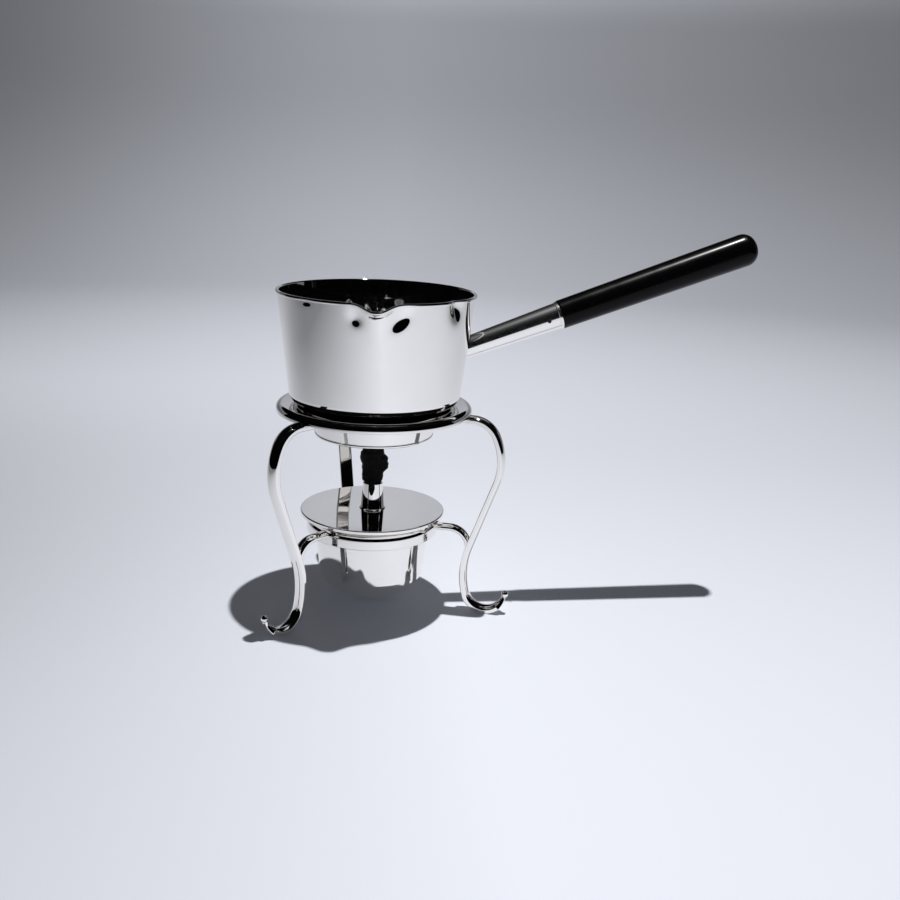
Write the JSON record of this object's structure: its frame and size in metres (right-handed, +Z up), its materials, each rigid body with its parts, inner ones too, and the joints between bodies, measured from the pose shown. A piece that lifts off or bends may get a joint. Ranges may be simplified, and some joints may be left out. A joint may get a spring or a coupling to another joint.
{
  "type": "brandy warmer",
  "caption": "Lipped saucepan with a black side handle, resting on a three-legged stand that holds a wick burner under it.",
  "frame": {"origin": "on the table plane, at the axis of the stand", "axes": "+Z up from the table, -Y towards the pouring lip, +X along the handle in plan, within 6 degrees"},
  "size_m": [0.2377, 0.1205, 0.188],
  "materials": {
    "silver_plate": "mirror polished",
    "black_grip": "satin black",
    "charred_wick": "charred cotton"
  },
  "bodies": {
    "stand": {"top_plate": "silver_plate", "heat_collar": "silver_plate", "leg_right": "silver_plate", "leg_back": "silver_plate", "leg_front_left": "silver_plate", "arm_right": "silver_plate", "arm_back": "silver_plate", "arm_front_left": "silver_plate", "burner_ring": "silver_plate"},
    "pan": {"pan_body": "silver_plate", "handle_socket": "silver_plate", "handle_grip": "black_grip", "handle_pin": "silver_plate"},
    "burner": {"burner_cup": "silver_plate"},
    "lid": {"burner_lid": "silver_plate", "lid_plug": "silver_plate", "wick_tube": "silver_plate"},
    "wick": {"wick": "charred_wick"}
  },
  "joints": [
    {"name": "pan_lift", "type": "slide", "parent": "stand", "child": "pan", "axis": [0, 0, 1], "range_m": [0, 0.06]},
    {"name": "burner_lift", "type": "slide", "parent": "stand", "child": "burner", "axis": [0, 0, 1], "range_m": [0, 0.012]},
    {"name": "lid_lift", "type": "slide", "parent": "burner", "child": "lid", "axis": [0, 0, 1], "range_m": [0, 0.007]},
    {"name": "wick_draw", "type": "slide", "parent": "lid", "child": "wick", "axis": [0, 0, 1], "range_m": [0, 0.002]}
  ]
}
